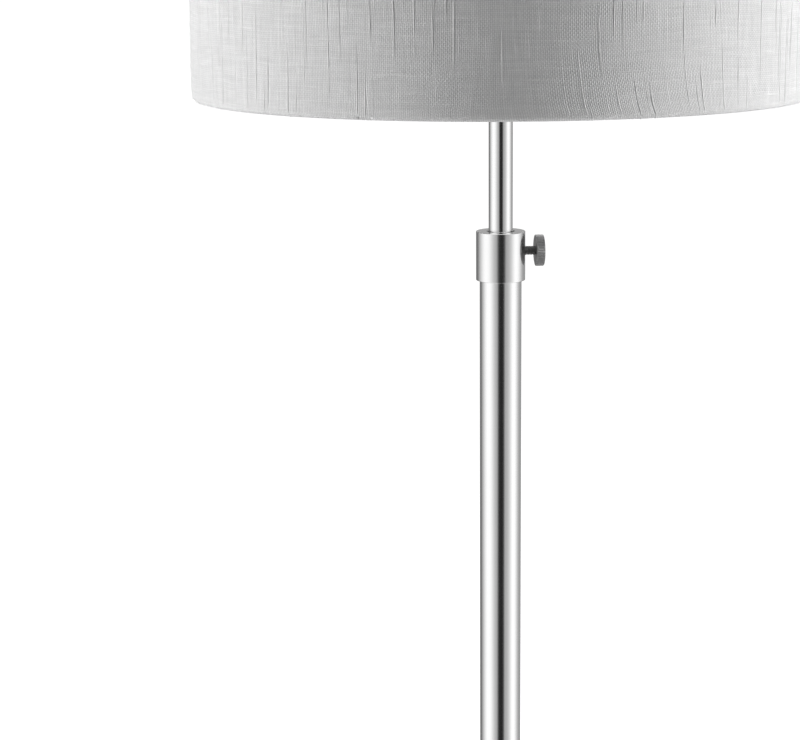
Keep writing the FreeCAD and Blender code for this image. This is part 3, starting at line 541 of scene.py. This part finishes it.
def yarn_place(angle, height):
    """Place on the uncut cloth of a point of the shade: upright yarns waver, and lean right near the rim."""
    arc = angle * SIDE_REACH
    leaning = smooth_step(arc, *LEAN_START) * smooth_step(-arc, -LEAN_END[1], -LEAN_END[0])
    fall = max(0.0, 1 - height / LEAN_HEIGHT)
    where = Vector((arc, height * 0.8, 0.0)) / WAVER_LENGTH
    upright_drift = LEAN * leaning * fall * fall + WAVER * noise.noise(where)
    cross_drift = WAVER * noise.noise(where + CROSS_LAYER)
    return arc - upright_drift, height - cross_drift


def arm_angles():
    return [math.pi / 2 - 2 * math.pi * i / ARM_COUNT for i in range(ARM_COUNT)]


def column_angles():
    """Even steps round the shade from the lapped edge at the rear, and the two sides of every cut edge."""
    turns = [-math.pi + 2 * math.pi * i / COLUMNS for i in range(COLUMNS)]
    for middle in arm_angles():
        for half in (ARM_NOTCH / 2, ARM_NOTCH / 2 + CUT_EDGE):
            turns += [middle - half / WIRE_CIRCLE, middle + half / WIRE_CIRCLE]
    turns.append(math.pi - CUT_EDGE / SHADE_RADIUS)
    return sorted((turn + math.pi) % (2 * math.pi) - math.pi for turn in turns)


def in_slit(angle):
    """True where a spider arm passes through the turned hem."""
    away = min(abs((angle - middle + math.pi) % (2 * math.pi) - math.pi) for middle in arm_angles())
    return away * WIRE_CIRCLE < (ARM_NOTCH + CUT_EDGE) / 2


def cloth_lift(angle, height):
    """How far the cloth stands off its lining: it ripples a little, and one end laps over the other."""
    around = Vector((math.sin(angle), math.cos(angle), 0.0)) * RIPPLES_ROUND
    ripple = noise.noise(around + Vector((0.0, 0.0, height * RIPPLES_UP)))
    arc = (math.pi - angle) * SHADE_RADIUS
    lap = 1 - smooth_step(arc, LAP_WIDTH * LAP_FADE, LAP_WIDTH) if arc > CUT_EDGE / 2 else 0.0
    return RIPPLE * (0.5 + 0.5 * ripple) + LAP_RISE * lap


def cloth_middle(angle):
    """Middle of the cloth at one angle, from the top tuck to the foot tuck.

    Each point gives its reach, its height, the way that the face looks, and its height on the uncut cloth.
    """
    line = []
    for i in range(HEM_STEPS + 1):
        run = HEM_RUN * (1 - i / HEM_STEPS)
        (out, up), face = hem_point(run)
        level = SHADE_HEIGHT - HEM_RADIUS - up
        line.append((WIRE_CIRCLE + out, level, (face[0], -face[1]), SHADE_HEIGHT + run))
    for i in range(1, SIDE_STEPS):
        up = HEM_RADIUS + SIDE_LENGTH * (1 - i / SIDE_STEPS)
        line.append((SIDE_REACH, up, (1.0, 0.0), up))
    foot_run = SLIT_RUN if in_slit(angle) else HEM_RUN
    for i in range(HEM_STEPS + 1):
        run = foot_run * i / HEM_STEPS
        (out, up), face = hem_point(run)
        line.append((WIRE_CIRCLE + out, HEM_RADIUS + up, face, -run))
    return line


def cloth_section(angle, sides=(1, -1)):
    """Points of the cloth at one angle, down its outside and back up its inside, and their thread map."""
    points, places = [], []
    for side in sides:
        line = cloth_middle(angle)
        for reach, up, face, height in line if side == 1 else reversed(line):
            out = reach + face[0] * side * CLOTH / 2 + max(face[0], 0.0) * cloth_lift(angle, height)
            level = RIM_LEVEL + up + face[1] * side * CLOTH / 2
            points.append(Vector((out * math.sin(angle), -out * math.cos(angle), level)))
            places.append(yarn_place(angle, height))
    return points, places


def make_cloth(name, sides=(1, -1)):
    """Cloth of the shade, turned in round both wires, slit for the arms and lapped at the rear.

    With both sides it is a closed skin, with one side an open sheet.
    """
    closed = len(sides) == 2
    angles = column_angles()
    sections = [cloth_section(angle, sides) for angle in angles]
    sections_end = cloth_section(math.pi, sides)[1]

    def cloth_place(ring, point):
        return sections_end[point] if ring == len(sections) else sections[ring][1][point]

    rings = [points for points, _ in sections]
    return ring_mesh(name, rings, loop=closed, cloth_place=cloth_place, sheet=not closed)


cover = make_cloth("linen_cover")
linen = new_piece("linen_cover", cover, white_linen, "mast", ("shade_fabric",))


# Slubs: yarn spun thick, laid on the cloth along its own threads


YARN_STEPS = 22
YARN_SIDES = 5
YARN_SUNK = 0.4  # of its radius, below the cloth's face
THINNEST = 0.02 * MM
LUMPS_PER_METRE = 140.0
SEAM_MARGIN = 45 * MM


def new_tree(name, inputs):
    """Geometry Nodes tree with named inputs. Returns its layout, its given sockets and its output end."""
    tree = bpy.data.node_groups.new(name, "GeometryNodeTree")
    tree.interface.new_socket("Geometry", in_out="INPUT", socket_type="NodeSocketGeometry")
    for socket, kind in inputs.items():
        tree.interface.new_socket(socket, in_out="INPUT", socket_type="NodeSocket" + kind)
    tree.interface.new_socket("Geometry", in_out="OUTPUT", socket_type="NodeSocketGeometry")
    layout = Layout(tree)
    return layout, layout.node("NodeGroupInput").outputs, layout.node("NodeGroupOutput").inputs


def make_slub_tree():
    """Threads scattered on the thread map, then laid on the cloth: thick in the middle, thin at both ends."""
    layout, given, result = new_tree(
        "slub_threads",
        {
            "Count": "Int", "Seed": "Int", "Lowest": "Vector", "Highest": "Vector", "Shortest": "Float",
            "Longest": "Float", "Girth": "Float", "Heading": "Float", "Material": "Material",
        },
    )
    scatter = layout.node(
        "FunctionNodeRandomValue", {0: given["Lowest"], 1: given["Highest"], "Seed": given["Seed"]},
        data_type="FLOAT_VECTOR",
    )
    points = layout.node("GeometryNodePoints", {"Count": given["Count"], "Position": scatter.outputs[0]})

    def chance(low, high, salt):
        seed = layout.plus(given["Seed"], salt)
        made = layout.node("FunctionNodeRandomValue", {2: low, 3: high, "Seed": seed}, data_type="FLOAT")
        return made.outputs[1]

    length = chance(given["Shortest"], given["Longest"], 1.0)
    line = layout.node(
        "GeometryNodeCurvePrimitiveLine", {"Start": (-0.5, 0.0, 0.0), "End": (0.5, 0.0, 0.0)}
    )
    yarn = layout.node("GeometryNodeResampleCurve", {"Curve": line.outputs[0], "Count": YARN_STEPS})
    placed_yarns = layout.node(
        "GeometryNodeInstanceOnPoints",
        {
            "Points": points.outputs[0],
            "Instance": yarn.outputs[0],
            "Rotation": layout.joined(0.0, 0.0, given["Heading"]),
            "Scale": layout.joined(length, 1.0, 1.0),
        },
    )
    stored = layout.stored(placed_yarns.outputs[0], "yarn_girth", chance(0.55, 1.0, 2.0), "INSTANCE")
    flat = layout.node("GeometryNodeRealizeInstances", {"Geometry": stored}).outputs[0]

    spot = layout.node("GeometryNodeInputPosition").outputs[0]
    thread_map = layout.named("thread_map", "FLOAT_VECTOR")
    place, found = layout.node(
        "GeometryNodeSampleUVSurface",
        {"Mesh": given["Geometry"], "Value": spot, "UV Map": thread_map, "Sample UV": spot},
        data_type="FLOAT_VECTOR",
    ).outputs
    outward = layout.vector("NORMALIZE", layout.vector("MULTIPLY", place, (1.0, 1.0, 0.0)))
    marked = layout.stored(flat, "on_cloth", found, "POINT", "BOOLEAN")
    along = layout.node("GeometryNodeSplineParameter").outputs["Factor"]
    swell = layout.math("POWER", layout.math("SINE", layout.times(along, math.pi)), 0.6)
    lumps = layout.ranged(layout.noise(spot, LUMPS_PER_METRE, detail=1.0), 0.3, 0.7, 0.6, 1.25)
    girth = layout.named("yarn_girth", "FLOAT")
    spun = layout.times(layout.times(given["Girth"], girth), layout.times(swell, lumps))
    sized = layout.stored(marked, "yarn_radius", layout.math("MAXIMUM", spun, THINNEST), "POINT")
    radius = layout.named("yarn_radius", "FLOAT")
    sunk = layout.scaled(outward, layout.times(radius, -YARN_SUNK))
    laid = layout.node("GeometryNodeSetPosition", {"Geometry": sized, "Position": place, "Offset": sunk})
    kept = layout.named("on_cloth", "BOOLEAN")
    off_cloth = layout.node("FunctionNodeBooleanMath", {0: kept}, operation="NOT").outputs[0]
    trimmed = layout.node(
        "GeometryNodeDeleteGeometry", {"Geometry": laid.outputs[0], "Selection": off_cloth}
    )
    section = layout.node("GeometryNodeCurvePrimitiveCircle", {"Resolution": YARN_SIDES, "Radius": 1.0})
    skin = layout.node(
        "GeometryNodeCurveToMesh",
        {
            "Curve": trimmed.outputs[0],
            "Profile Curve": section.outputs[0],
            "Scale": radius,
            "Fill Caps": True,
        },
    )
    smooth = layout.node("GeometryNodeSetShadeSmooth", {"Geometry": skin.outputs[0], "Shade Smooth": True})
    realized = layout.node("GeometryNodeRealizeInstances", {"Geometry": smooth.outputs[0]})
    finished = layout.node(
        "GeometryNodeSetMaterial", {"Geometry": realized.outputs[0], "Material": given["Material"]}
    )
    layout.feed(result["Geometry"], finished.outputs[0])
    return layout.tree


def grow(name, ground, tree, values):
    """Plain mesh that a Geometry Nodes tree makes on a ground mesh, which is then removed."""
    carrier = bpy.data.objects.new(name, ground)
    bpy.context.scene.collection.objects.link(carrier)
    modifier = carrier.modifiers.new(name, "NODES")
    modifier.node_group = tree
    for item in tree.interface.items_tree:
        if item.item_type == "SOCKET" and item.in_out == "INPUT" and item.name in values:
            modifier[item.identifier] = values[item.name]
    carrier.update_tag()
    seen = carrier.evaluated_get(bpy.context.evaluated_depsgraph_get())
    mesh = bpy.data.meshes.new_from_object(seen)
    bpy.data.objects.remove(carrier)
    return mesh


SKIN = make_cloth("cloth_skin", sides=(1,))
SLUB_TREE = make_slub_tree()
LAID_REACH = math.pi * SIDE_REACH - SEAM_MARGIN
ON_CLOTH = {
    "Lowest": (-LAID_REACH, 0.0, 0.0),
    "Highest": (LAID_REACH, SHADE_HEIGHT, 0.0),
    "Material": slub_yarn,
}
SLUBS = {
    "upright_slubs": {
        "Count": 600, "Seed": 4, "Shortest": 18 * MM, "Longest": 85 * MM, "Girth": 0.55 * MM,
        "Heading": math.pi / 2,
    },
    "cross_slubs": {
        "Count": 190, "Seed": 11, "Shortest": 12 * MM, "Longest": 55 * MM, "Girth": 0.34 * MM,
        "Heading": 0.0,
    },
}

for name, values in SLUBS.items():
    new_piece(name, grow(name, SKIN, SLUB_TREE, {**ON_CLOTH, **values}), slub_yarn, "mast")
bpy.data.meshes.remove(SKIN)


# Threaded pieces


def make_stud():
    """Rolled thread with a plain tip, on the clamp's axis."""
    radius = (stud_head.z - stud_foot.z) / 2
    length = stud_head.x - stud_foot.x
    chamfer = 0.5 * MM
    tip_radius = 1.7 * MM
    tip_length = 1.6 * MM
    crest_slope = 3.4
    turns = 32
    rings_per_pitch = 8

    def thread_radius(along, angle):
        share = (along / STUD_PITCH - angle / (2 * math.pi)) % 1.0
        crest = min(1.0, max(0.0, crest_slope * (0.5 - abs(share - 0.5))))
        taper = min(along - tip_length, length - along) + radius - chamfer
        return min(radius - STUD_THREAD_DEPTH * (1 - crest), taper)

    def ring(along, radius_at):
        points = []
        for i in range(turns):
            angle = 2 * math.pi * i / turns
            reach = radius_at(along, angle)
            side, up = reach * math.cos(angle), reach * math.sin(angle)
            points.append((stud_foot.x + along, side, STUD_LEVEL + up))
        return points

    rings = [ring(along, lambda *_: tip_radius) for along in (0.0, tip_length)]
    count = round((length - tip_length) / STUD_PITCH * rings_per_pitch)
    for i in range(count + 1):
        rings.append(ring(tip_length + (length - tip_length) * i / count, thread_radius))
    return ring_mesh("stud_thread", rings)


def make_bulb_cap():
    """Thin metal cap with the round thread of a lamp holder, coned at its foot."""
    radius = cap_head.x
    height = cap_head.z - cap_foot.z
    cone = 2.7 * MM
    thread_start = 2.6 * MM
    thread_end = 17.0 * MM
    thread_fade = 1.5 * MM
    turns = 72
    steps = 76

    def outside(up, angle):
        share = up / CAP_PITCH - angle / (2 * math.pi)
        start = smooth_step(up, thread_start, thread_start + thread_fade)
        end = smooth_step(-up, -thread_end, thread_fade - thread_end)
        groove = CAP_THREAD_DEPTH * start * end * (0.5 - 0.5 * math.cos(2 * math.pi * share))
        return min(radius - groove, radius - cone + up)

    sections = []
    for i in range(turns):
        angle = 2 * math.pi * i / turns
        levels = [height * j / steps for j in range(steps + 1)]
        outer = [(outside(up, angle), up) for up in levels]
        inner = [(reach - CAP_WALL, up) for reach, up in reversed(outer)]
        sections.append([
            (reach * math.cos(angle), reach * math.sin(angle), cap_foot.z + up)
            for reach, up in outer + inner
        ])
    return ring_mesh("bulb_cap_thread", sections, loop=True)


new_piece("stud_thread", make_stud(), stud_steel, "thumbscrew", ("thumbscrew_stud",))
new_piece("bulb_cap_thread", make_bulb_cap(), cap_nickel, "bulb", ("bulb_cap",))


# Studio. Azimuths are degrees from the camera's side of the lamp; the studio turns with the camera.
# Each ring lists what the metal mirrors on that side: azimuth and brightness, from the front to the rear.

RIGHT_RING = (
    (0, 0.024), (10, 0.03), (16, 0.09), (20, 0.26), (24, 0.38), (32, 0.43), (40, 0.51), (50, 0.66),
    (60, 0.88), (74, 1.05), (86, 0.98), (98, 0.76), (114, 0.48), (128, 0.34), (180, 0.34),
)
LEFT_RING = (
    (0, 0.024), (8, 0.03), (13, 0.08), (17, 0.22), (23, 0.41), (30, 0.48), (40, 0.64), (50, 0.82),
    (60, 0.97), (75, 1.03), (90, 0.92), (100, 0.76), (115, 0.50), (128, 0.30), (136, 0.18), (180, 0.34),
)
WHITE = (1.0, 1.0, 1.0, 1.0)
REFLECTANCE = 0.75
AMBIENT = 0.07
ZENITH = 0.9
RING_TOP = (0.26, 0.87)  # rise of the way looked, from the ring's brightness to the zenith's
CURVE_RANGE = 2.0  # a curve node holds levels up to 1
PANEL_DISTANCE = 3.0
PANEL_HEIGHT = 1.12
PANEL_SIZE = (1.1, 2.4)
FLOOR_REACH = 40.0
FLOOR_PAINT = (0.86, 0.86, 0.86, 1.0)
SHADOW_RANGE = (0.35, 1.3)  # from the lamp's axis: the floor glows least inside and is white outside
SHADOW_GLOW = 0.55


def make_studio_world():
    """White to the camera. Metal sees a ring of soft panels, and the cloth gets an even dim light."""
    world = bpy.data.worlds.new("studio")
    world.use_nodes = True
    world.node_tree.nodes.clear()
    layout = Layout(world.node_tree)
    way = layout.node("ShaderNodeTexCoord").outputs["Generated"]
    turned = layout.node(
        "ShaderNodeVectorRotate", {"Vector": way, "Angle": -SEEN_FROM}, rotation_type="Z_AXIS"
    )
    x, y, z = layout.parts(turned.outputs[0])
    side = layout.over(layout.math("ARCTAN2", x, layout.times(y, -1.0)), math.pi)

    def ring(share, stops):
        curve_node = layout.node("ShaderNodeFloatCurve", {"Value": share})
        curve = curve_node.mapping.curves[0]
        curve.points[0].location = (0.0, stops[0][1] / CURVE_RANGE)
        curve.points[1].location = (1.0, stops[-1][1] / CURVE_RANGE)
        for angle, level in stops[1:-1]:
            curve.points.new(angle / 180, level / CURVE_RANGE)
        curve_node.mapping.update()
        return layout.times(curve_node.outputs[0], CURVE_RANGE)

    right = ring(layout.math("MAXIMUM", side, 0.0), RIGHT_RING)
    left = ring(layout.math("MAXIMUM", layout.times(side, -1.0), 0.0), LEFT_RING)
    on_right = layout.math("GREATER_THAN", side, 0.0)
    panels = layout.mixed(on_right, left, right)
    overhead = layout.ranged(z, *RING_TOP, smooth=True)
    seen = layout.over(layout.mixed(overhead, panels, ZENITH), REFLECTANCE)
    ray = layout.node("ShaderNodeLightPath").outputs
    level = layout.mixed(ray["Is Glossy Ray"], AMBIENT, seen)
    level = layout.mixed(
        layout.math("MAXIMUM", ray["Is Camera Ray"], ray["Is Transmission Ray"]), level, 1.0
    )
    light = layout.node("ShaderNodeBackground", {"Color": WHITE, "Strength": level})
    layout.node("ShaderNodeOutputWorld", {"Surface": light.outputs[0]})
    bpy.context.scene.world = world


def add_panel(name, azimuth, level):
    """Tall soft light aimed at the shade. No metal mirrors it, because the world's ring has one there."""
    turn = math.radians(azimuth) + SEEN_FROM
    place = Vector((PANEL_DISTANCE * math.sin(turn), -PANEL_DISTANCE * math.cos(turn), PANEL_HEIGHT))
    data = bpy.data.lights.new(name, "AREA")
    data.shape = "RECTANGLE"
    data.size, data.size_y = PANEL_SIZE
    data.energy = level * (math.pi * PANEL_DISTANCE) ** 2
    panel = bpy.data.objects.new(name, data)
    panel.location = place
    target = Vector((0.0, 0.0, PANEL_HEIGHT))
    panel.rotation_euler = (target - place).to_track_quat("-Z", "Y").to_euler()
    panel.visible_glossy = False
    bpy.context.scene.collection.objects.link(panel)


def make_floor():
    """Pale floor: white to the camera, but it keeps the shadow near the lamp. Metal looks through it."""
    material = bpy.data.materials.new("studio_floor")
    material.use_nodes = True
    material.node_tree.nodes.clear()
    layout = Layout(material.node_tree)
    paint = layout.node("ShaderNodeBsdfDiffuse", {"Color": FLOOR_PAINT})
    ray = layout.node("ShaderNodeLightPath").outputs
    seen = layout.math("MAXIMUM", ray["Is Camera Ray"], ray["Is Transmission Ray"])
    far = layout.vector("LENGTH", layout.node("ShaderNodeTexCoord").outputs["Object"])
    level = layout.ranged(far, *SHADOW_RANGE, SHADOW_GLOW, 1.0, smooth=True)
    glow = layout.node("ShaderNodeEmission", {"Color": WHITE, "Strength": layout.times(seen, level)})
    lit = layout.node("ShaderNodeAddShader", {0: paint.outputs[0], 1: glow.outputs[0]})
    clear = layout.node("ShaderNodeBsdfTransparent")
    below = layout.node("ShaderNodeNewGeometry").outputs["Backfacing"]
    through = layout.math("MAXIMUM", ray["Is Glossy Ray"], below)
    skin = layout.node("ShaderNodeMixShader", {0: through, 1: lit.outputs[0], 2: clear.outputs[0]})
    layout.node("ShaderNodeOutputMaterial", {"Surface": skin.outputs[0]})
    mesh = bpy.data.meshes.new("studio_floor")
    ends = ((-1, -1), (1, -1), (1, 1), (-1, 1))
    corners = [(x * FLOOR_REACH, y * FLOOR_REACH, 0) for x, y in ends]
    mesh.from_pydata(corners, [], [(0, 1, 2, 3)])
    mesh.materials.append(material)
    floor = bpy.data.objects.new("studio_floor", mesh)
    bpy.context.scene.collection.objects.link(floor)


make_studio_world()
make_floor()
add_panel("panel_right", 83, 1.05)
add_panel("panel_left", -82, 0.90)


# Camera, fitted to the perspective of the rim and the tubes

CAMERA_PLACE = Vector((-0.0676, -1.4083, 1.0957))
CAMERA_PITCH = math.radians(11.61)
CAMERA_ROLL = math.radians(-0.496)
LENS = 96.2


def add_camera():
    data = bpy.data.cameras.new("camera")
    data.lens = LENS
    camera = bpy.data.objects.new("camera", data)
    turn = Matrix.Rotation(math.pi / 2 - CAMERA_PITCH, 4, "X") @ Matrix.Rotation(CAMERA_ROLL, 4, "Z")
    camera.matrix_world = Matrix.Rotation(SEEN_FROM, 4, "Z") @ Matrix.Translation(CAMERA_PLACE) @ turn
    bpy.context.scene.collection.objects.link(camera)
    bpy.context.scene.camera = camera


add_camera()
bpy.context.scene.view_settings.view_transform = "Standard"
